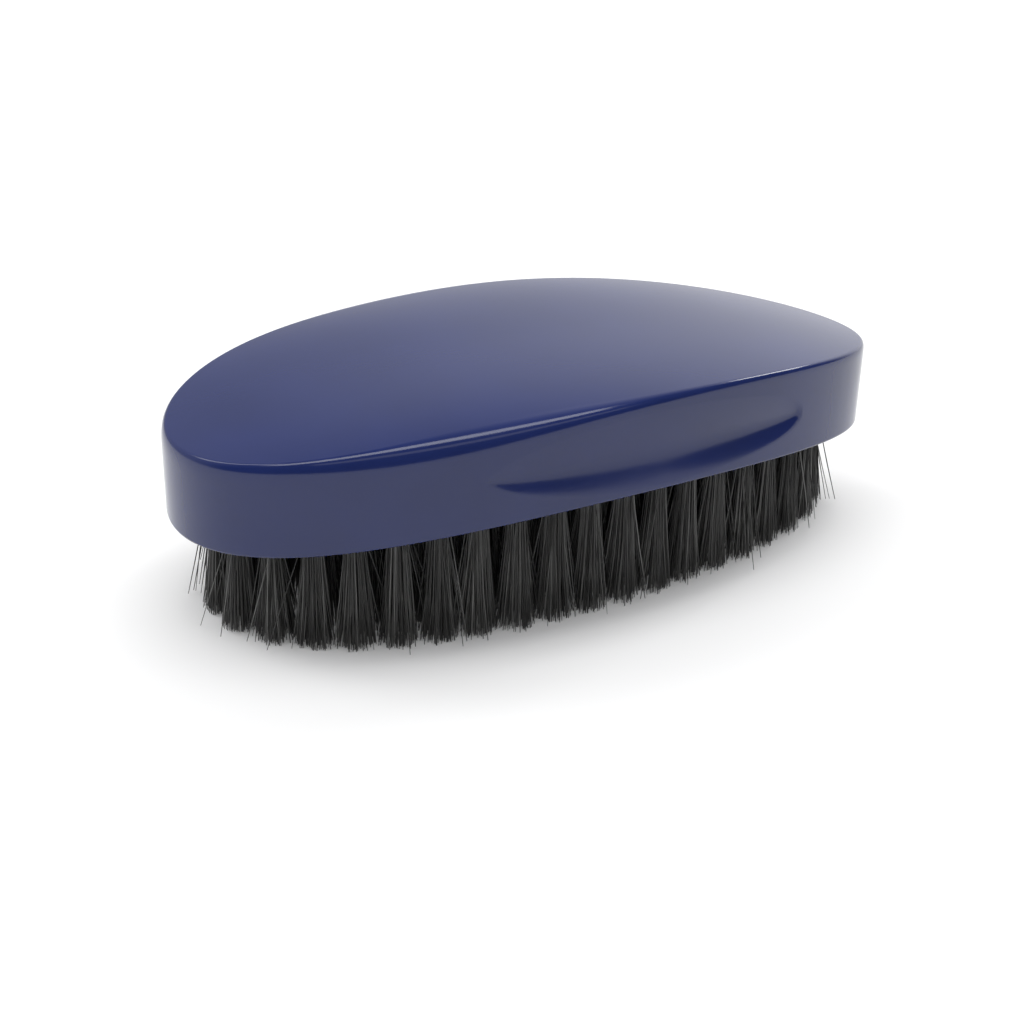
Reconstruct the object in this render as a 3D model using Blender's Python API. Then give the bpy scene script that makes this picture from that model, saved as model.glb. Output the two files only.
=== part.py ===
"""Palm wave brush: an arched, lacquered hardwood block with a finger groove along each side,
and black bristle tufts set in blind holes in its sole. It stands on its bristle tips at Z = 0.
+X runs along the block to its narrow end and +Z points up through the block.
"""

import math

import bmesh
import bpy
import numpy as np

# Block, seen from above: a half width that swells and narrows along the length
LENGTH = 0.120
HALF_LENGTH = LENGTH / 2
WIDTH = 0.0548
NARROWING = -0.206  # share of the width lost towards the narrow end and gained at the broad end
END_FULLNESS = 0.075
SHOULDER = -0.03

# Block, seen from the side: top and sole both arch along the length
BRISTLE_LENGTH = 0.0221  # from the tips to the sole, at the middle
BLOCK_THICKNESS = 0.0158
TOP_ARCH = 0.0071  # drop of the top edge from the middle to either end
SOLE_ARCH = 0.0059
CROWN = 0.0012
EDGE_REACH = 0.0055  # how far in from the outline the top starts to roll over, at its fullest
EDGE_DROP = 0.0051  # how far down the wall that roll ends, at its fullest
EDGE_SQUARENESS = 3.6  # power of the rolled edge's superellipse
REACH_BELL = (0.22, 0.88, -0.016, 0.024)  # share of the reach everywhere, extra, its x and spread
DROP_BELL = (0.40, 0.80, -0.036, 0.028)
SOLE_EDGE_RADIUS = 0.0006
SOLE_Z = BRISTLE_LENGTH
TOP_Z = BRISTLE_LENGTH + BLOCK_THICKNESS

# Finger groove, an oval scoop on both long walls
GROOVE_X = 0.0103
GROOVE_Z = TOP_Z - 0.0084
GROOVE_REACH = (0.0300, 0.0281)  # from GROOVE_X to its broad-end tip and its narrow-end tip
GROOVE_ENDS = (0.6, 0.42)  # powers that shape those two ends: the lower, the blunter
GROOVE_HALF_HEIGHT = 0.0063
GROOVE_DEPTH = 0.0016
GROOVE_TILT = 0.02  # fall of its centre line per metre towards the narrow end
GROOVE_ARCH = 1.1  # and per square metre, along with the block's arch
GROOVE_DEEPEST = 0.6  # share of the way down at which the scoop is deepest
GROOVE_EASE = (1.3, 1.12)  # powers that flatten its upper and lower slopes towards the rim
GROOVE_SOFTNESS = 4.0  # power of the smooth lesser of its two slopes

# Tufts and their holes
RING_COUNT = 38
RING_INSET = 0.0076  # from the block's outline to the tuft centres
RANK_PITCH = 0.0063
RANK_REACH = 7  # ranks on each side of the middle one
RANK_SHIFT = -0.0010  # of the middle rank, towards the broad end
TUFT_PITCH = 0.0060
LEAST_PITCH = 0.0044  # closer than this, neighbouring holes would run together
TUFT_CLEARANCE = 0.0064  # least distance from a rank's tuft to a ring tuft
HOLE_RADIUS = 0.0020
HOLE_DEPTH = 0.0070
ROOT_RADIUS = 0.00185
ROOT_GAP = 0.0003  # between a tuft's folded root and the bottom of its hole
COLLAR = 0.0007  # straight stretch of a tuft under the sole
RING_TIP_RADIUS = 0.0029
RANK_TIP_RADIUS = 0.0030
TIP_OVERLAP = 0.0002  # how far the spread tips of a rank run into each other
FLARE = (0.0, 0.3, 0.65, 1.0)
TUFT_SIDES = 8

# Mesh steps
OUTLINE_STEPS = 112
EDGE_ANGLES = (8, 15, 26, 38, 52, 65, 78, 90)  # slopes of the edge's rings, in degrees
WALL_STEPS = 10
TOP_SCALES = (0.86, 0.7, 0.5, 0.25)


def finish(name, colour, roughness, metallic=0.0):
    """A Principled material."""
    material = bpy.data.materials.new(name)
    material.use_nodes = True
    shader = material.node_tree.nodes["Principled BSDF"]
    shader.inputs["Base Color"].default_value = (*colour, 1.0)
    shader.inputs["Roughness"].default_value = roughness
    shader.inputs["Metallic"].default_value = metallic
    material.diffuse_color = (*colour, 1.0)
    return material


def outline(turn, inset=0.0):
    """Points of the block's outline at the angles given, moved inwards by inset."""
    across, along = np.sin(turn), np.cos(turn)
    swell = 1 + NARROWING * along + END_FULLNESS * along**2 + SHOULDER * along**3
    slope = -across * (NARROWING + 2 * END_FULLNESS * along + 3 * SHOULDER * along**2)
    point = np.stack([HALF_LENGTH * along, WIDTH / 2 * across * swell], 1)
    tangent = np.stack([-HALF_LENGTH * across, WIDTH / 2 * (along * swell + across * slope)], 1)
    tangent /= np.linalg.norm(tangent, axis=1, keepdims=True)
    normal = np.stack([tangent[:, 1], -tangent[:, 0]], 1)
    return point - normal * np.reshape(inset, (-1, 1)), normal


def top_height(x):
    return TOP_Z - TOP_ARCH * (x / HALF_LENGTH) ** 2


def sole_height(x):
    return SOLE_Z - SOLE_ARCH * (x / HALF_LENGTH) ** 2


def groove_depth(x, z):
    """Depth of the finger groove inside an oval, longer towards the broad end, whose centre line
    dips by a parabola: a long easy slope down and a short one back, joined by their smooth lesser."""
    side = x > GROOVE_X
    along = (x - GROOVE_X) / np.where(side, GROOVE_REACH[1], GROOVE_REACH[0])
    half = np.clip(1 - along**2, 1e-9, None) ** np.where(side, GROOVE_ENDS[1], GROOVE_ENDS[0])
    middle = GROOVE_Z - GROOVE_TILT * x - GROOVE_ARCH * x**2
    down = np.clip(0.5 - (z - middle) / (2 * GROOVE_HALF_HEIGHT * half), 1e-6, 1 - 1e-6)
    easy = (down / GROOVE_DEEPEST) ** GROOVE_EASE[0]
    short = ((1 - down) / (1 - GROOVE_DEEPEST)) ** GROOVE_EASE[1]
    lesser = (easy**-GROOVE_SOFTNESS + short**-GROOVE_SOFTNESS) ** (-1 / GROOVE_SOFTNESS)
    return np.where(half > 1e-3, GROOVE_DEPTH * half * lesser, 0.0)


def bell(x, least, extra, middle, spread):
    return least + extra * np.exp(-(((x - middle) / spread) ** 2))


def edge_profile(degrees, x):
    """Inset and drop of the rolled edge where its slope is the angle given: a superellipse whose
    reach and drop follow bell curves along the block."""
    power = EDGE_SQUARENESS
    ratio = (np.tan(np.radians(degrees)) * EDGE_REACH / EDGE_DROP) ** (1 / (power - 1))
    size = (1 + ratio**power) ** (1 / power)
    reach = EDGE_REACH * bell(x, *REACH_BELL)
    drop = EDGE_DROP * bell(x, *DROP_BELL)
    return reach * (1 - ratio / size), drop * (1 - 1 / size)


def edge_end(x):
    """How far below the top's rim the rolled edge meets the wall."""
    return edge_profile(EDGE_ANGLES[-1], x)[1] - edge_profile(EDGE_ANGLES[0], x)[1]


def ring(turn, inset, height):
    """One closed ring of the block's side, at a height that varies with x, groove included."""
    flat, normal = outline(turn, inset)
    z = height(flat[:, 0])
    flat = flat - normal * groove_depth(flat[:, 0], z)[:, None]
    return np.column_stack([flat, z])


def block_rings():
    """Rings from the middle of the top, over the edge and down the side to the sole."""
    turn = np.arange(OUTLINE_STEPS) * 2 * math.pi / OUTLINE_STEPS
    full, _ = outline(turn)
    rim_inset, rim_drop = edge_profile(EDGE_ANGLES[0], full[:, 0])
    rim, _ = outline(turn, rim_inset)
    rings = []
    for scale in reversed(TOP_SCALES):
        x, y = rim[:, 0] * scale, rim[:, 1] * scale
        rings.append(np.column_stack([x, y, top_height(x) + CROWN * (1 - scale**3)]))
    for degrees in EDGE_ANGLES:
        inset, drop = edge_profile(degrees, full[:, 0])
        rings.append(ring(turn, inset, lambda x, d=drop - rim_drop: top_height(x) - d))
    for share in np.linspace(0, 1, WALL_STEPS + 1)[1:]:

        def wall(x, share=share):
            upper = top_height(x) - edge_end(x)
            return upper + share * (sole_height(x) + SOLE_EDGE_RADIUS - upper)

        rings.append(ring(turn, 0.0, wall))
    for angle in (math.pi / 4, math.pi / 2):
        inset = SOLE_EDGE_RADIUS * (1 - math.cos(angle))
        rise = SOLE_EDGE_RADIUS * (1 - math.sin(angle))
        rings.append(ring(turn, inset, lambda x, rise=rise: sole_height(x) + rise))
    return rings


def mesh_object(name, material, bm):
    bmesh.ops.recalc_face_normals(bm, faces=bm.faces)
    mesh = bpy.data.meshes.new(name)
    bm.to_mesh(mesh)
    bm.free()
    item = bpy.data.objects.new(name, mesh)
    bpy.context.scene.collection.objects.link(item)
    if material:
        mesh.materials.append(material)
    return item


def solid_block(name, material):
    """The block before drilling: rings bridged from the top's centre to the sole."""
    bm = bmesh.new()
    rings = [[bm.verts.new(point) for point in points] for points in block_rings()]
    centre = bm.verts.new((0, 0, TOP_Z + CROWN))
    steps = OUTLINE_STEPS
    for i in range(steps):
        bm.faces.new((centre, rings[0][i], rings[0][(i + 1) % steps]))
    for upper, lower in zip(rings, rings[1:]):
        for i in range(steps):
            j = (i + 1) % steps
            bm.faces.new((upper[i], lower[i], lower[j], upper[j]))
    # The sole arches along X only, so strips straight across it lie true.
    sole = rings[-1]
    for i in range(1, steps // 2 - 1):
        bm.faces.new((sole[i], sole[i + 1], sole[steps - i - 1], sole[steps - i]))
    bm.faces.new((sole[0], sole[1], sole[-1]))
    bm.faces.new((sole[steps // 2 - 1], sole[steps // 2], sole[steps // 2 + 1]))
    return mesh_object(name, material, bm)


def tuft_rings(bm, place, levels):
    """A closed many-sided column through the levels given as (height, x radius, y radius)."""
    angles = [(k + 0.5) * 2 * math.pi / TUFT_SIDES for k in range(TUFT_SIDES)]
    loops = []
    for height, wide, deep in levels:
        corners = [(math.cos(a) * wide, math.sin(a) * deep) for a in angles]
        loops.append([bm.verts.new((place[0] + x, place[1] + y, height)) for x, y in corners])
    for lower, upper in zip(loops, loops[1:]):
        for i in range(TUFT_SIDES):
            j = (i + 1) % TUFT_SIDES
            bm.faces.new((lower[i], lower[j], upper[j], upper[i]))
    bm.faces.new(loops[0][::-1])
    bm.faces.new(loops[-1])


def tuft_levels(place, tip_wide, tip_deep):
    """Trimmed tips at Z = 0, a spread that eases into the collar, and the folded root."""
    sole = float(sole_height(place[0]))
    collar = sole - COLLAR
    levels = []
    for share in reversed(FLARE):
        spread = share**1.3
        wide = ROOT_RADIUS + (tip_wide - ROOT_RADIUS) * spread
        deep = ROOT_RADIUS + (tip_deep - ROOT_RADIUS) * spread
        levels.append((collar * (1 - share), wide, deep))
    levels.append((sole + HOLE_DEPTH - ROOT_GAP, ROOT_RADIUS, ROOT_RADIUS))
    return levels


def ring_places():
    """Tuft centres spaced evenly along the outline moved inwards, from the narrow end round."""
    turn = np.linspace(0, 2 * math.pi, 4001)
    path, _ = outline(turn, RING_INSET)
    run = np.concatenate([[0], np.cumsum(np.linalg.norm(np.diff(path, axis=0), axis=1))])
    at = np.arange(RING_COUNT) * run[-1] / RING_COUNT
    return np.column_stack([np.interp(at, run, path[:, 0]), np.interp(at, run, path[:, 1])])


def rank_places(x, ring_tufts):
    """Tuft centres straight across the sole at x, filling the space that the ring leaves."""
    reach = np.arange(0, WIDTH / 2, 0.0001)
    gaps = np.hypot(ring_tufts[:, 0:1] - x, ring_tufts[:, 1:2] - reach).min(axis=0)
    inside = reach[(gaps >= TUFT_CLEARANCE) & (np.cumsum(gaps < TUFT_CLEARANCE) == 0)]
    half = inside[-1]
    spaces = round(2 * half / TUFT_PITCH)
    if spaces and 2 * half / spaces < LEAST_PITCH:
        spaces -= 1
    if spaces == 0:
        return [(x, 0.0)]
    return [(x, -half + 2 * half * k / spaces) for k in range(spaces + 1)]


def drill(block, places):
    """Blind holes for all the tufts, cut as one many-bodied tool."""
    bm = bmesh.new()
    for place in places:
        sole = float(sole_height(place[0]))
        levels = [(sole - 0.003, HOLE_RADIUS, HOLE_RADIUS), (sole + HOLE_DEPTH, HOLE_RADIUS, HOLE_RADIUS)]
        tuft_rings(bm, place, levels)
    tool = mesh_object("hole_drills", None, bm)
    tool.hide_render = True
    tool.display_type = "WIRE"
    cut = block.modifiers.new("tuft holes", "BOOLEAN")
    cut.operation = "DIFFERENCE"
    cut.solver = "EXACT"
    cut.object = tool


def ring_tuft(name, place, material):
    bm = bmesh.new()
    tuft_rings(bm, place, tuft_levels(place, RING_TIP_RADIUS, RING_TIP_RADIUS))
    return mesh_object(name, material, bm)


def rank_of_tufts(name, places, material):
    """A rank's tufts, whose spread tips run into each other, united into one solid."""
    pitch = places[1][1] - places[0][1] if len(places) > 1 else TUFT_PITCH
    wide = RANK_TIP_RADIUS / math.cos(math.pi / TUFT_SIDES)
    deep = (pitch + TIP_OVERLAP) / 2 / math.cos(math.pi / TUFT_SIDES)
    rank = None
    for number, place in enumerate(places):
        bm = bmesh.new()
        tuft_rings(bm, place, tuft_levels(place, wide, deep))
        tuft = mesh_object(name if rank is None else f"{name}_tuft_{number}", material, bm)
        if rank is None:
            rank = tuft
            continue
        tuft.hide_render = True
        tuft.display_type = "WIRE"
        join = rank.modifiers.new(f"tuft {number}", "BOOLEAN")
        join.operation = "UNION"
        join.solver = "EXACT"
        join.object = tuft
    return rank


for old in list(bpy.data.objects):
    bpy.data.objects.remove(old, do_unlink=True)

lacquer = finish("lacquered_wood", (0.016, 0.023, 0.105), 0.16)
bristle = finish("bristle", (0.012, 0.012, 0.013), 0.45)

ring_tufts = ring_places()
rank_positions = [RANK_SHIFT + n * RANK_PITCH for n in range(-RANK_REACH, RANK_REACH + 1)]
ranks = [rank_places(x, ring_tufts) for x in rank_positions]

block = solid_block("block", lacquer)
drill(block, [tuple(place) for place in ring_tufts] + [place for rank in ranks for place in rank])
for number, place in enumerate(ring_tufts, 1):
    ring_tuft(f"edge_tuft_{number:02d}", tuple(place), bristle)
for number, places in enumerate(ranks, 1):
    rank_of_tufts(f"tuft_rank_{number:02d}", places, bristle)
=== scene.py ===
import math

import bmesh
import bpy
import numpy as np
from mathutils import Matrix, Vector
from mathutils.geometry import delaunay_2d_cdt


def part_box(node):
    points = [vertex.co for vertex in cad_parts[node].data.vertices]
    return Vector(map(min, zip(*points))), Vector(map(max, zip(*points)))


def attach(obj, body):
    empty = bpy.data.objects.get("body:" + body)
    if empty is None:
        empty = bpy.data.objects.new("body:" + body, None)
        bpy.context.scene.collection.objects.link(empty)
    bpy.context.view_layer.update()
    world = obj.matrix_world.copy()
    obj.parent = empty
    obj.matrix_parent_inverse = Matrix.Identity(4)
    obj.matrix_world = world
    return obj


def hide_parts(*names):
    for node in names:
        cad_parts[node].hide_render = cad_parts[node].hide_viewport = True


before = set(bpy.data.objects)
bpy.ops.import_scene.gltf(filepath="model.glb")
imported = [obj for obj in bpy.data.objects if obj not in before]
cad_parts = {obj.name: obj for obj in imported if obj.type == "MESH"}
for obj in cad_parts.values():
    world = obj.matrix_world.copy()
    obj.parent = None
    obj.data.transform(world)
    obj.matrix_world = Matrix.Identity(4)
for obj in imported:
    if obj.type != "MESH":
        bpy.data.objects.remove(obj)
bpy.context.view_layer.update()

# ---------------------------------------------------------------------------
# Camera: a portrait lens some 0.3 m from the brush and above it, turned a
# little towards its broad end, so the narrow end recedes to the upper right.
# ---------------------------------------------------------------------------
AIM = Vector((-0.0081, -0.0107, 0.0138))
STAND_OFF = 0.2911
LENS, SENSOR = 64.8, 36  # millimetres
AZIMUTH = math.radians(-23.68)
ELEVATION = math.radians(28.25)
ROLL = math.radians(1.36)

camera = bpy.data.objects.new("camera", bpy.data.cameras.new("camera"))
bpy.context.scene.collection.objects.link(camera)
back = Vector((
    math.sin(AZIMUTH) * math.cos(ELEVATION),
    -math.cos(AZIMUTH) * math.cos(ELEVATION),
    math.sin(ELEVATION),
))
camera.matrix_world = (
    Matrix.Translation(AIM + back * STAND_OFF)
    @ back.to_track_quat("Z", "Y").to_matrix().to_4x4()
    @ Matrix.Rotation(ROLL, 4, "Z")
)
camera.data.sensor_width = SENSOR
camera.data.lens = LENS
camera.data.clip_start = 0.01
bpy.context.scene.camera = camera

# ---------------------------------------------------------------------------
# The block: one piece of close-grained hardwood. It is shaped on a spindle
# to an egg outline, bandsawn to an arch, scooped along both sides for the
# fingers, drilled for the tufts, then sanded and lacquered dark blue.
# ---------------------------------------------------------------------------
block_low, block_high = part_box("block")
HALF_LENGTH = (block_high.x - block_low.x) / 2
SWELL_WIDTH = 0.0548
NARROWING = -0.206  # these three are the plan's cubic swell
END_FULLNESS = 0.075
SHOULDER = -0.03
CROWN = 0.0012  # rise of the top's middle over its rim
CROWN_CROWDING = 1.5  # power that crowds the crown's rows towards the rim
TOP_ARCH = 0.0071  # fall of the top and of the sole from the middle to the ends
SOLE_ARCH = 0.0059
TOP_Z = block_high.z - CROWN
THICKNESS = 0.0158
SOLE_Z = TOP_Z - THICKNESS
EDGE_REACH = 0.0055  # how far in from the wall the top starts to roll over, at its fullest
EDGE_DROP = 0.0051  # how far down the wall that roll ends, at its fullest
EDGE_SQUARENESS = 3.6
EDGE_SLOPES = (8, 90)  # degrees at the top's rim and at the wall
REACH_BELL = (0.22, 0.88, -0.016, 0.024)  # share of the reach everywhere, extra, its x and spread
DROP_BELL = (0.40, 0.80, -0.036, 0.028)
SOLE_EDGE_RADIUS = 0.0006
GROOVE_X = 0.0103
GROOVE_Z = TOP_Z - 0.0084
GROOVE_REACH = (0.0300, 0.0281)  # from GROOVE_X to its broad-end tip and its narrow-end tip
GROOVE_ENDS = (0.6, 0.42)  # powers that shape those two ends: the lower, the blunter
GROOVE_HALF_HEIGHT = 0.0063
GROOVE_DEPTH = 0.00142  # before the ends' taper and the soft join take their share
GROOVE_DEEPENING = 14  # growth of that depth per metre past GROOVE_X
GROOVE_TILT = 0.02  # fall of its centre line per metre towards the narrow end
GROOVE_ARCH = 1.1  # and per square metre, along with the block's arch
GROOVE_DEEPEST = 0.6  # share of the way down at which the scoop is deepest
GROOVE_EASE = (1.3, 1.12)  # powers that flatten its upper and lower slopes towards the rim
GROOVE_SOFTNESS = 4.0  # power of the mean that joins its two slopes
HOLE_RADIUS = 0.0020
HOLE_DEPTH = 0.0070
HOLE_SIDES = 20
HOLE_CHAMFER = 0.00015
HOLE_MOUTH = HOLE_RADIUS + HOLE_CHAMFER
DRILL_CONE = 0.0008  # rise of the hole's pointed end
ROOT_BAND = 1e-5  # height within which a tuft's root ends are taken to be level
ROOT_GAP = 0.0015  # a gap across the sole wider than this starts the next tuft
SOLE_SQUARE = 0.0014
AROUND = 560
CROWN_ROWS, EDGE_ROWS, WALL_ROWS, UNDER_ROWS = 36, 34, 72, 6


def outline(turn, inset=0.0):
    """The block's plan. Half width is a sine, swelled by a cubic in the cosine that takes width
    from the narrow end; half length times the cosine runs along X. Moved inwards by inset."""
    across, along = np.sin(turn), np.cos(turn)
    swell = 1 + NARROWING * along + END_FULLNESS * along**2 + SHOULDER * along**3
    slope = -across * (NARROWING + 2 * END_FULLNESS * along + 3 * SHOULDER * along**2)
    x = HALF_LENGTH * along
    y = SWELL_WIDTH / 2 * across * swell
    dx = -HALF_LENGTH * across
    dy = SWELL_WIDTH / 2 * (along * swell + across * slope)
    size = np.hypot(dx, dy)
    return x - inset * dy / size, y + inset * dx / size, dy / size, -dx / size


def top_height(x):
    """Height of the top's rim: a parabola that falls towards both ends."""
    return TOP_Z - TOP_ARCH * (x / HALF_LENGTH) ** 2


def sole_height(x):
    """Height of the sole: a slightly flatter parabola than the top's."""
    return SOLE_Z - SOLE_ARCH * (x / HALF_LENGTH) ** 2


def groove(x, z):
    """Depth of the finger scoop inside an oval, longer and more pointed towards the broad end,
    whose centre line dips by a parabola: a long easy slope down from the upper rim and a short
    one back, each a power, joined by a power mean. It deepens a little towards the narrow end."""
    side = x > GROOVE_X
    along = (x - GROOVE_X) / np.where(side, GROOVE_REACH[1], GROOVE_REACH[0])
    half = np.clip(1 - along**2, 1e-9, None) ** np.where(side, GROOVE_ENDS[1], GROOVE_ENDS[0])
    middle = GROOVE_Z - GROOVE_TILT * x - GROOVE_ARCH * x**2
    down = np.clip(0.5 - (z - middle) / (2 * GROOVE_HALF_HEIGHT * half), 1e-6, 1 - 1e-6)
    easy = (down / GROOVE_DEEPEST) ** GROOVE_EASE[0]
    short = ((1 - down) / (1 - GROOVE_DEEPEST)) ** GROOVE_EASE[1]
    lesser = (easy**-GROOVE_SOFTNESS + short**-GROOVE_SOFTNESS) ** (-1 / GROOVE_SOFTNESS)
    depth = GROOVE_DEPTH * (1 + GROOVE_DEEPENING * np.clip(x - GROOVE_X, 0, None))
    return np.where(half > 1e-3, depth * half * lesser, 0.0)


def bell(x, least, extra, middle, spread):
    """A Gauss curve over x that stands on a constant."""
    return least + extra * np.exp(-(((x - middle) / spread) ** 2))


def edge_profile(degrees, x):
    """Inset and drop of the rolled edge where it slopes by the angle given: a superellipse that
    leaves the top slowly and turns tightly, its two sizes following bells along the block."""
    power = EDGE_SQUARENESS
    ratio = (np.tan(np.radians(degrees)) * EDGE_REACH / EDGE_DROP) ** (1 / (power - 1))
    size = (1 + ratio**power) ** (1 / power)
    reach = EDGE_REACH * bell(x, *REACH_BELL)
    drop = EDGE_DROP * bell(x, *DROP_BELL)
    return reach * (1 - ratio / size), drop * (1 - 1 / size)


def grid_faces(rows, columns):
    """Quads of a grid whose columns close on themselves."""
    row, column = np.meshgrid(np.arange(rows - 1), np.arange(columns), indexing="ij")
    here = row * columns + column
    right = row * columns + (column + 1) % columns
    return np.stack([here, here + columns, right + columns, right], -1).reshape(-1, 4)


def build(name, points, faces, smooth=True):
    """A mesh object at the origin from an array of points and a list of face arrays."""
    mesh = bpy.data.meshes.new(name)
    mesh.from_pydata(points, [], [face for group in faces for face in group.tolist()])
    mesh.polygons.foreach_set("use_smooth", [smooth] * len(mesh.polygons))
    mesh.update()
    piece = bpy.data.objects.new(name, mesh)
    bpy.context.scene.collection.objects.link(piece)
    return piece


def block_shell():
    """Rows from the middle of the top to the sole's rim: the crown as the outline shrunk to a
    point, the rolled edge, the wall with its scoops, and a small round under the wall."""
    turn = np.arange(AROUND) * 2 * math.pi / AROUND
    full_x = outline(turn)[0]
    rim_inset, rim_drop = edge_profile(EDGE_SLOPES[0], full_x)
    rim_x, rim_y, _, _ = outline(turn, rim_inset)
    shrink = 1 - np.linspace(1, 0, CROWN_ROWS)[:-1, None] ** CROWN_CROWDING
    x, y = rim_x * shrink, rim_y * shrink
    x[0] = y[0] = 0
    crown = np.stack([x, y, top_height(x) + CROWN * (1 - shrink**3)], -1)

    inset, drop = edge_profile(np.linspace(*EDGE_SLOPES, EDGE_ROWS)[:, None], full_x)
    x, y, _, _ = outline(turn[None], inset)
    edge = np.stack([x, y, top_height(x) - drop + rim_drop], -1)

    share = np.linspace(0, 1, WALL_ROWS)[1:-1, None]
    x, y, nx, ny = outline(turn[None] + 0 * share)
    edge_end = edge_profile(EDGE_SLOPES[1], x)[1] - edge_profile(EDGE_SLOPES[0], x)[1]
    upper, lower = top_height(x) - edge_end, sole_height(x) + SOLE_EDGE_RADIUS
    z = upper + share * (lower - upper)
    depth = groove(x, z)
    wall = np.stack([x - nx * depth, y - ny * depth, z], -1)

    angle = np.linspace(0, math.pi / 2, UNDER_ROWS)[:, None]
    x, y, nx, ny = outline(turn[None], SOLE_EDGE_RADIUS * (1 - np.cos(angle)))
    z = sole_height(x) + SOLE_EDGE_RADIUS * (1 - np.sin(angle))
    depth = groove(x, z)
    under = np.stack([x - nx * depth, y - ny * depth, z], -1)
    return np.concatenate([crown, edge, wall, under])


def tuft_places(node):
    """Centres of a node's tufts: its root ends, which are its highest points, split at the gaps.
    Known fault: the three roots of tuft_rank_14 stand closer than ROOT_GAP, so they give one
    centre, and two of the frame's 103 tufts have no hole, anchor or bristles here. A smaller gap
    would split single roots, whose own corners are up to 1.42 mm apart across the sole."""
    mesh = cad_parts[node].data
    points = np.empty(len(mesh.vertices) * 3, np.float32)
    mesh.vertices.foreach_get("co", points)
    points = points.reshape(-1, 3).astype(float)
    roots = points[points[:, 2] > points[:, 2].max() - ROOT_BAND]
    roots = roots[np.argsort(roots[:, 1])]
    groups = np.split(roots, np.flatnonzero(np.diff(roots[:, 1]) > ROOT_GAP) + 1)
    return [
        ((g[:, 0].min() + g[:, 0].max()) / 2, (g[:, 1].min() + g[:, 1].max()) / 2) for g in groups
    ]


edge_nodes = sorted(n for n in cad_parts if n.startswith("edge_tuft"))
rank_nodes = sorted(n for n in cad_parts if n.startswith("tuft_rank"))
places = {node: tuft_places(node) for node in edge_nodes + rank_nodes}
hole_places = np.array([place for node in places for place in places[node]])


def sole_sheet():
    """The sole between the holes: points along the outline, round each hole and on a mesh of
    squares in between, joined by a constrained triangulation and lifted onto the arch."""
    turn = np.arange(AROUND) * 2 * math.pi / AROUND
    rim_x, rim_y, nx, ny = outline(turn, SOLE_EDGE_RADIUS)
    depth = groove(rim_x, sole_height(rim_x))
    rim = np.stack([rim_x - nx * depth, rim_y - ny * depth], 1)
    spoke = np.arange(HOLE_SIDES) * 2 * math.pi / HOLE_SIDES
    circle = np.stack([np.cos(spoke), np.sin(spoke)], 1) * HOLE_MOUTH
    rims = (hole_places[:, None] + circle[None]).reshape(-1, 2)

    steps = np.arange(-HALF_LENGTH, HALF_LENGTH, SOLE_SQUARE)
    fill = np.stack(np.meshgrid(steps, steps, indexing="ij"), -1).reshape(-1, 2)
    turn_of = np.arccos(np.clip(fill[:, 0] / HALF_LENGTH, -1, 1))
    edge_y = outline(turn_of)[1]
    clear = np.abs(fill[:, 1]) < edge_y - 2 * SOLE_SQUARE
    gap = np.linalg.norm(fill[:, None] - hole_places[None], axis=2).min(axis=1)
    fill = fill[clear & (gap > HOLE_MOUTH + SOLE_SQUARE / 3)]

    loops = [np.arange(AROUND)] + list(AROUND + np.arange(len(rims)).reshape(-1, HOLE_SIDES))
    edges = [(int(a), int(b)) for loop in loops for a, b in zip(loop, np.roll(loop, -1))]
    flat = np.concatenate([rim, rims, fill])
    made = delaunay_2d_cdt([Vector(p) for p in flat], edges, [], 1, 1e-7)
    flat = np.array([tuple(p) for p in made[0]])
    faces = np.array([face for face in made[2] if len(face) == 3])
    middle = flat[faces].mean(axis=1)
    gap = np.linalg.norm(middle[:, None] - hole_places[None], axis=2).min(axis=1)
    faces = faces[gap > HOLE_RADIUS + HOLE_CHAMFER * 0.8]
    return np.column_stack([flat, sole_height(flat[:, 0])]), faces[:, ::-1]


def hole_walls():
    """Every drilled hole: rings from its eased mouth up the bore to the drill's cone."""
    spoke = np.arange(HOLE_SIDES) * 2 * math.pi / HOLE_SIDES
    radius = np.array([HOLE_MOUTH, HOLE_RADIUS, HOLE_RADIUS, 0])
    rise = np.array([0, HOLE_CHAMFER, HOLE_DEPTH, HOLE_DEPTH + DRILL_CONE])
    x = hole_places[:, None, None, 0] + radius[None, :, None] * np.cos(spoke)
    y = hole_places[:, None, None, 1] + radius[None, :, None] * np.sin(spoke)
    mouth = np.where(rise[None, :, None] > 0, hole_places[:, None, None, 0], x)
    z = sole_height(mouth) + rise[None, :, None]
    rings = np.stack([x, y, z], -1)
    faces = grid_faces(len(radius), HOLE_SIDES)
    start = np.arange(len(hole_places)) * len(radius) * HOLE_SIDES
    return rings.reshape(-1, 3), (faces[None] + start[:, None, None]).reshape(-1, 4)[:, ::-1]


shell = block_shell()
sheet_points, sheet_faces = sole_sheet()
bore_points, bore_faces = hole_walls()
shell_faces = grid_faces(len(shell), AROUND)
shell = shell.reshape(-1, 3)
block = build(
    "lacquered_block",
    np.concatenate([shell, sheet_points, bore_points]),
    [shell_faces, sheet_faces + len(shell), bore_faces + len(shell) + len(sheet_points)],
)


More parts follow.
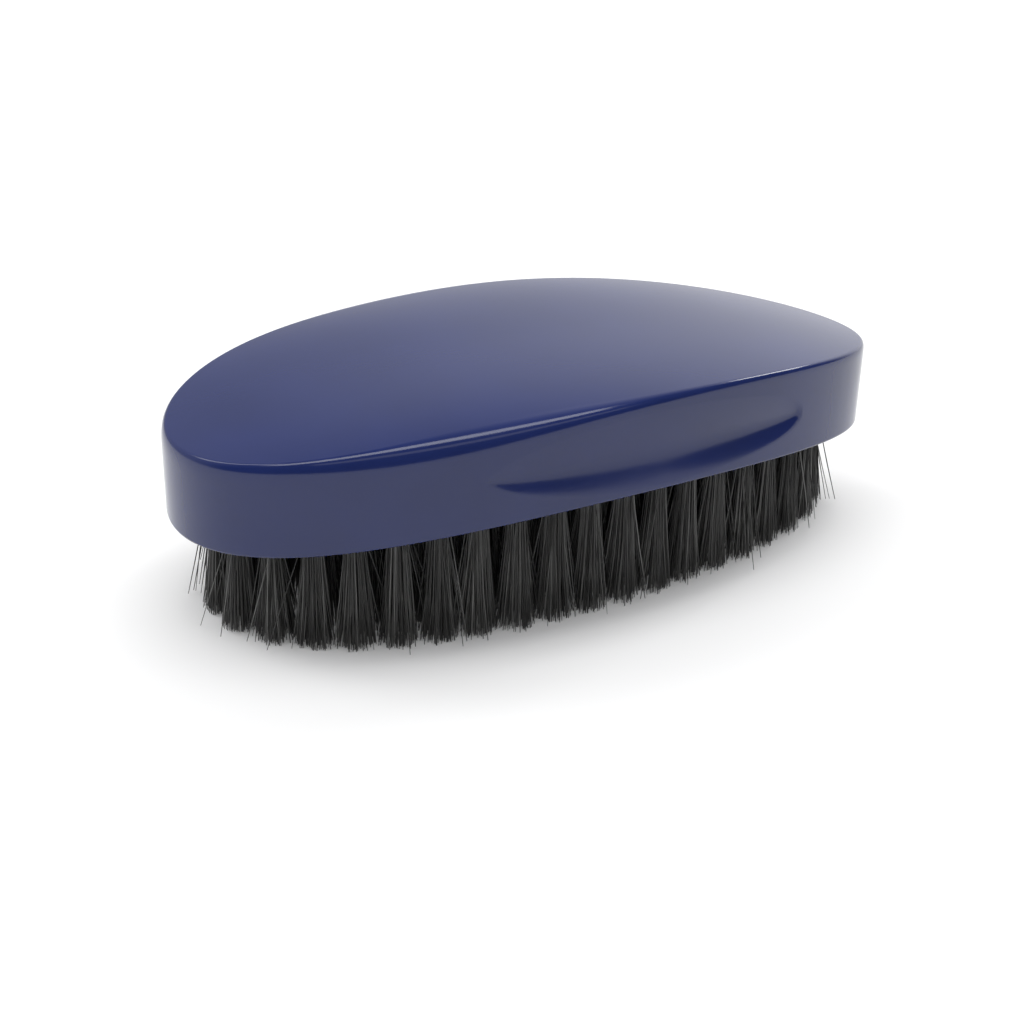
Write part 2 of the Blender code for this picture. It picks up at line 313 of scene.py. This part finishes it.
class Wire:
    """A shader socket: its operators add Math nodes, and node() adds any other kind."""

    def __init__(self, tree, socket=None):
        self.tree = tree
        self.socket = socket

    def node(self, kind, settings=None, inputs=None, out=0):
        """A node of a kind, with its settings first, then the values or wires of its sockets."""
        made = self.tree.nodes.new(kind)
        for key, value in (settings or {}).items():
            setattr(made, key, value)
        for key, value in (inputs or {}).items():
            if isinstance(value, Wire):
                self.tree.links.new(value.socket, made.inputs[key])
            else:
                made.inputs[key].default_value = value
        return Wire(self.tree, made.outputs[out])

    def math(self, operation, *values):
        return self.node("ShaderNodeMath", {"operation": operation}, dict(enumerate(values)))

    def __add__(self, other):
        return self.math("ADD", self, other)

    def __sub__(self, other):
        return self.math("SUBTRACT", self, other)

    def __rsub__(self, other):
        return self.math("SUBTRACT", other, self)

    def __mul__(self, other):
        return self.math("MULTIPLY", self, other)

    __radd__ = __add__
    __rmul__ = __mul__

    def ramp(self, low, high):
        """0 below low, 1 above high, eased in between."""
        settings = {"interpolation_type": "SMOOTHSTEP"}
        inputs = {"Value": self, "From Min": low, "From Max": high}
        return self.node("ShaderNodeMapRange", settings, inputs)

    def blend(self, low, high):
        """The colour low where this wire is 0, and high where it is 1."""
        inputs = {0: self, 6: low, 7: high}
        return self.node("ShaderNodeMix", {"data_type": "RGBA"}, inputs, 2)

    def noise(self, scale, detail=2.0, roughness=0.5, stretch=(1, 1, 1)):
        """Noise on this wire's coordinates, drawn out along the axes with a small stretch."""
        place = self.node("ShaderNodeMapping", {}, {"Vector": self, "Scale": stretch})
        inputs = {"Vector": place, "Scale": scale, "Detail": detail, "Roughness": roughness}
        return self.node("ShaderNodeTexNoise", {}, inputs)


def material(name):
    """A new material, a wire to its Object coordinates, and its Principled shader's inputs."""
    made = bpy.data.materials.new(name)
    made.use_nodes = True
    shader = made.node_tree.nodes["Principled BSDF"]
    space = Wire(made.node_tree).node("ShaderNodeTexCoord", out="Object")
    return made, space, shader.inputs


def feed(sockets, **values):
    """Sets a shader's inputs, given with underscores for spaces, from numbers or wires."""
    for key, value in values.items():
        socket = sockets[key.replace("_", " ")]
        if isinstance(value, Wire):
            value.tree.links.new(value.socket, socket)
        else:
            socket.default_value = value


def bump(height, distance):
    """A Bump node at full strength whose height, 0 to 1, stands for distance metres."""
    inputs = {"Height": height, "Distance": distance, "Strength": 1.0}
    return height.node("ShaderNodeBump", {}, inputs)


# Dark blue lacquer, flowed out almost flat: a faint orange peel, wood grain that shows through
# as long shallow ripples, and a little cloudiness in the colour and in the polish.
lacquer, space, sockets = material("blue_lacquer")
clouds = space.noise(45, 3)
grain = space.noise(900, 3, 0.6, (0.05, 1, 1))
pores = space.noise(2600, 1, 0.5, (0.06, 1, 1)).ramp(0.62, 0.75)
peel = space.noise(420, 1, 0.4)
deep, light = (0.0100, 0.0190, 0.094, 1), (0.0118, 0.0218, 0.108, 1)
smudge = space.noise(70, 4, 0.6).ramp(0.35, 0.75)
feed(
    sockets,
    Base_Color=clouds.ramp(0.3, 0.7).blend(deep, light),
    Roughness=0.12 + 0.03 * smudge + 0.02 * grain,
    IOR=1.5,
    Normal=bump(grain + 0.4 * peel - 0.3 * pores, 0.000004),
)

# Bare pale beech in the bores, where no lacquer reaches, with its rings drawn out upwards.
bare_wood, space, sockets = material("bare_beech")
rings = space.noise(500, 4, 0.6, (1, 1, 0.08))
feed(
    sockets,
    Base_Color=rings.ramp(0.3, 0.7).blend((0.42, 0.25, 0.13, 1), (0.56, 0.37, 0.21, 1)),
    Roughness=0.7 + 0.1 * rings,
    Normal=bump(rings, 0.00004),
)
block.data.materials.append(lacquer)
block.data.materials.append(bare_wood)

# The eased mouths keep the lacquer; the bore and the drill's cone above them are bare.
bare = np.zeros(len(block.data.polygons), np.int32)
bore_rows = np.tile(np.repeat([0, 1, 1], HOLE_SIDES), len(hole_places))
bare[len(shell_faces) + len(sheet_faces):] = bore_rows
block.data.polygons.foreach_set("material_index", bare)

# The shell, the sole and the bores share their seams, so welding them closes the block.
WELD = 2e-6
weld = bmesh.new()
weld.from_mesh(block.data)
bmesh.ops.remove_doubles(weld, verts=weld.verts, dist=WELD)
bmesh.ops.recalc_face_normals(weld, faces=weld.faces)
weld.to_mesh(block.data)
weld.free()
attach(block, "root")
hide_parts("block")

# ---------------------------------------------------------------------------
# Anchors: short flats of galvanised wire, one across each hole. The tufting
# machine drives each one in through the fold of its tuft, and its two ends
# bite into the wood. They are out of sight once the brush is filled.
# ---------------------------------------------------------------------------
ANCHOR_HEIGHT = 0.0015
ANCHOR_THICKNESS = 0.00028
ANCHOR_TOP = HOLE_DEPTH - 0.0011  # above the sole
ANCHOR_REACH = HOLE_RADIUS + 0.00025  # half its length: the ends bite into the wood
ANCHOR_BOW = 0.0002


def anchors_mesh():
    """Each anchor is a rounded rectangle of four corners and four edge middles, carried across
    its hole in five steps, bowed down a little between its ends by a parabola."""
    corner = np.array([
        (-1, -1), (0, -1.15), (1, -1), (1.1, 0), (1, 1), (0, 1.15), (-1, 1), (-1.1, 0),
    ])
    across = np.linspace(-1, 1, 5)
    y = corner[:, 0] * ANCHOR_THICKNESS / 2
    z = corner[:, 1] * ANCHOR_HEIGHT / 2 + ANCHOR_TOP - ANCHOR_HEIGHT / 2
    shape = np.empty((len(across), len(corner), 3))
    shape[..., 0] = across[:, None] * ANCHOR_REACH
    shape[..., 1] = y
    shape[..., 2] = z + ANCHOR_BOW * across[:, None] ** 2
    sole = sole_height(hole_places[:, 0])
    offset = np.column_stack([hole_places, sole])
    points = shape.reshape(1, -1, 3) + offset[:, None]
    quads = grid_faces(len(across), len(corner))
    start = (np.arange(len(hole_places)) * shape.shape[0] * shape.shape[1])[:, None, None]
    last = (len(across) - 1) * len(corner)
    caps = np.array([range(len(corner) - 1, -1, -1), range(last, last + len(corner))])
    return points.reshape(-1, 3), [
        (quads[None] + start).reshape(-1, 4)[:, ::-1],
        (caps[None] + start).reshape(-1, len(corner)),
    ]


anchors = build("wire_anchors", *anchors_mesh(), smooth=False)
galvanised, space, sockets = material("galvanised_wire")
bloom = space.noise(1800, 3, 0.6)
feed(
    sockets,
    Base_Color=bloom.ramp(0.3, 0.7).blend((0.42, 0.43, 0.43, 1), (0.62, 0.62, 0.6, 1)),
    Metallic=1.0,
    Roughness=0.3 + 0.25 * bloom,
    Normal=bump(bloom, 0.00001),
)
anchors.data.materials.append(galvanised)
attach(anchors, "root")

# ---------------------------------------------------------------------------
# Bristle tufts: black bristles, each folded in half over its anchor, so both
# ends show. They leave the hole packed tight, spread towards the tips, and
# are trimmed flat together; a few stand out from the rest.
# ---------------------------------------------------------------------------
EDGE_BRISTLES = 130
RANK_BRISTLES = 100
BRISTLE_RADIUS = 0.0001
PACKED_RADIUS = 0.00145
EDGE_SPREAD = 0.0031  # half width of an edge tuft at its tips
RANK_SPREAD = 0.0033  # the same along the block for the tufts inside the ring
LONE_PITCH = 0.006  # pitch given to a rank of a single tuft
BRISTLE_SIDES = 3
LEG_SHARES = np.array([1.0, 0.62, 0.28, 0.0])  # share of the way down, from tip to sole
CROWDING = 0.45  # power that crowds the bristles towards the tuft's rim
SPREAD_POWER = 1.7  # how late on the way down a tuft spreads
TIP_SCATTER = 0.00035
BOW_SCATTER = 0.00016
TRIM_SCATTER = 0.0003
WILD_SHARE = 0.12  # bristles that stand out a little, and end a little high
WILD_REACH = 0.0016
WILD_SHORTNESS = 0.0004
STRAY_SHARE = 0.15  # the wild ones that stand out far
STRAY_REACH = 0.0034
STRAY_LIMIT = 1.5  # in standard deviations


def bristle_paths(place, count, spread, random):
    """Paths of one tuft's folded bristles. Across the hole each leg sits at a random point of a
    half disc. Below the sole its offset grows with a power of the way down, plus a bow that is
    a half sine; above it the two legs meet over the anchor."""
    sole = sole_height(place[0])
    reach = PACKED_RADIUS * random.uniform(0.002, 1, count) ** CROWDING
    turn = random.uniform(-math.pi / 2, math.pi / 2, count)
    side, along = reach * np.cos(turn), reach * np.sin(turn)
    side = np.maximum(side, ANCHOR_THICKNESS / 2 + BRISTLE_RADIUS)
    legs = []
    for sign in (1, -1):
        root = np.stack([along, sign * side], 1)
        tip = root / PACKED_RADIUS * spread + random.normal(0, TIP_SCATTER, (count, 2))
        wild = random.uniform(0, 1, count) < WILD_SHARE
        far = random.uniform(0, 1, count) < STRAY_SHARE
        stray = np.where(far, STRAY_REACH, WILD_REACH)
        astray = random.normal(0, 1, (count, 2)).clip(-STRAY_LIMIT, STRAY_LIMIT)
        tip += (wild * stray)[:, None] * astray
        bow = random.normal(0, BOW_SCATTER, (count, 2))
        tip_z = np.abs(random.normal(0, TRIM_SCATTER, count)) + WILD_SHORTNESS * wild
        down = LEG_SHARES[None, :, None]
        ease = np.where(wild, 1.0, SPREAD_POWER)[:, None, None]
        flat = root[:, None] + (tip - root)[:, None] * down**ease
        flat = flat + bow[:, None] * np.sin(math.pi * down)
        z = sole + (tip_z[:, None] - sole) * LEG_SHARES
        legs.append(np.concatenate([flat, z[..., None]], 2))
    inner_z = sole + ANCHOR_TOP * 0.6
    fold_z = sole + ANCHOR_TOP + 0.00015 + 0.45 * side
    middle = np.stack([
        np.stack([along, side, 0 * side + inner_z], 1),
        np.stack([along, side * 0.8, 0 * side + sole + ANCHOR_TOP], 1),
        np.stack([along, 0 * side, fold_z], 1),
        np.stack([along, -side * 0.8, 0 * side + sole + ANCHOR_TOP], 1),
        np.stack([along, -side, 0 * side + inner_z], 1),
    ], 1)
    paths = np.concatenate([legs[0], middle, legs[1][:, ::-1]], 1)
    return paths + np.array([place[0], place[1], 0.0])


def bristle_tubes(paths, random):
    """A three-sided tube along each path, thinner at its two ends."""
    count, steps = paths.shape[:2]
    ahead = np.gradient(paths, axis=1)
    ahead /= np.linalg.norm(ahead, axis=2, keepdims=True)
    first = np.array([1.0, 0, 0]) - ahead * ahead[..., :1]
    first /= np.linalg.norm(first, axis=2, keepdims=True)
    second = np.cross(ahead, first)
    phase = random.uniform(0, 2 * math.pi, (count, 1))
    turn = phase + np.arange(BRISTLE_SIDES) * 2 * math.pi / BRISTLE_SIDES
    taper = np.interp(np.linspace(-1, 1, steps), (-1, -0.85, 0.85, 1), (0.62, 1, 1, 0.62))
    thick = BRISTLE_RADIUS * random.uniform(0.8, 1.2, (count, 1)) * taper
    ring = (
        np.cos(turn)[:, None, :, None] * first[:, :, None]
        + np.sin(turn)[:, None, :, None] * second[:, :, None]
    )
    points = paths[:, :, None] + ring * thick[:, :, None, None]
    quads = grid_faces(steps, BRISTLE_SIDES)
    last = (steps - 1) * BRISTLE_SIDES
    caps = np.array([[2, 1, 0], [last, last + 1, last + 2]])
    start = (np.arange(count) * steps * BRISTLE_SIDES)[:, None, None]
    return points.reshape(-1, 3), [
        (quads[None] + start).reshape(-1, 4)[:, ::-1],
        (caps[None] + start).reshape(-1, 3),
    ]


black_bristle, space, sockets = material("black_bristle")
tone = space.node("ShaderNodeAttribute", {"attribute_name": "tone"}, {}, "Fac")
streak = space.noise(2200, 2, 0.5, (1, 1, 0.12))
feed(
    sockets,
    Base_Color=(tone + streak * 0.3).blend((0.006, 0.006, 0.006, 1), (0.19, 0.19, 0.185, 1)),
    Roughness=0.36 + 0.2 * streak,
    Normal=bump(streak, 0.00001),
)


def bristle_piece(node, count, spread, seed):
    """One node's bristles as one mesh, each bristle with its own tone."""
    random = np.random.default_rng(seed)
    paths = np.concatenate([bristle_paths(p, count, spread, random) for p in places[node]])
    points, faces = bristle_tubes(paths, random)
    piece = build("bristles_" + node, points, faces)
    per_bristle = paths.shape[1] * BRISTLE_SIDES
    tones = np.repeat(random.beta(0.6, 1.8, len(paths)), per_bristle)
    piece.data.attributes.new("tone", "FLOAT", "POINT").data.foreach_set("value", tones)
    piece.data.materials.append(black_bristle)
    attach(piece, "root")
    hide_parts(node)


for seed, node in enumerate(edge_nodes):
    bristle_piece(node, EDGE_BRISTLES, EDGE_SPREAD, seed)
for seed, node in enumerate(rank_nodes, len(edge_nodes)):
    centres = np.array(places[node])
    gaps = len(centres) - 1
    pitch = (centres[-1] - centres[0])[1] / gaps if gaps else LONE_PITCH
    bristle_piece(node, RANK_BRISTLES, np.array([RANK_SPREAD, pitch / 2]), seed)

# ---------------------------------------------------------------------------
# Studio: a pale table top, one broad soft box overhead, two smaller ones to
# the right and the left, a long one in front, and a bright backdrop behind.
# ---------------------------------------------------------------------------
FLOOR_REACH = 0.9
table_mesh = bpy.data.meshes.new("pale_floor")
table_mesh.from_pydata(
    [(x * FLOOR_REACH, y * FLOOR_REACH, 0) for x, y in ((-1, -1), (1, -1), (1, 1), (-1, 1))],
    [],
    [(0, 1, 2, 3)],
)
floor = bpy.data.objects.new("pale_floor", table_mesh)
bpy.context.scene.collection.objects.link(floor)
paper, space, sockets = material("pale_paper")
feed(
    sockets,
    Base_Color=(0.76, 0.76, 0.76, 1),
    Roughness=0.9,
    Emission_Color=(1, 1, 1, 1),
    Emission_Strength=0.08,
)
table_mesh.materials.append(paper)


def soft_box(name, place, towards, width, depth, power):
    """A rectangular area light of the given watts, aimed at a point."""
    light = bpy.data.lights.new(name, "AREA")
    light.shape = "RECTANGLE"
    light.size, light.size_y, light.energy = width, depth, power
    item = bpy.data.objects.new(name, light)
    bpy.context.scene.collection.objects.link(item)
    item.location = place
    item.rotation_euler = (Vector(towards) - Vector(place)).to_track_quat("-Z", "Y").to_euler()


soft_box("overhead", (-0.135, -0.02, 1.0), (-0.135, -0.02, 0), 1.22, 0.32, 5.0)
soft_box("overhead_right", (0.85, 0.25, 0.66), (0, 0, 0), 0.22, 0.26, 1.9)
soft_box("overhead_left", (-0.64, 0.56, 0.9), (0, 0, 0), 0.32, 0.6, 2.4)
soft_box("front_fill", (0.0, -0.77, 0.97), (0, 0, 0), 1.6, 0.3, 1.2)

# The backdrop is plain white to look at. Its glow on the brush is dim, but brighter from behind
# and low down, most of all on the right, and scattered light also comes from above.
world = bpy.data.worlds.new("studio")
bpy.context.scene.world = world
world.use_nodes = True
shade = world.node_tree.nodes["Background"]
sky = Wire(world.node_tree).node("ShaderNodeTexCoord", out="Generated")
across = sky.node("ShaderNodeSeparateXYZ", {}, {0: sky}, 0)
behind = sky.node("ShaderNodeSeparateXYZ", {}, {0: sky}, 1)
height = sky.node("ShaderNodeSeparateXYZ", {}, {0: sky}, 2)
seen = sky.node("ShaderNodeLightPath", out="Is Camera Ray")
scattered = sky.node("ShaderNodeLightPath", out="Is Diffuse Ray")
sides = across.math("MAXIMUM", 0.64 + 1.22 * (across - 0.15), 0.46)
low = 1 - height.ramp(0.48, 1.06)
glow = 0.06 + behind.ramp(-0.1, 0.5) * low * sides + scattered * 0.95 * height.ramp(0.4, 0.75)
strength = seen + (1 - seen) * glow
world.node_tree.links.new(strength.socket, shade.inputs["Strength"])
shade.inputs["Color"].default_value = (1, 1, 1, 1)
bpy.context.scene.view_settings.view_transform = "Standard"
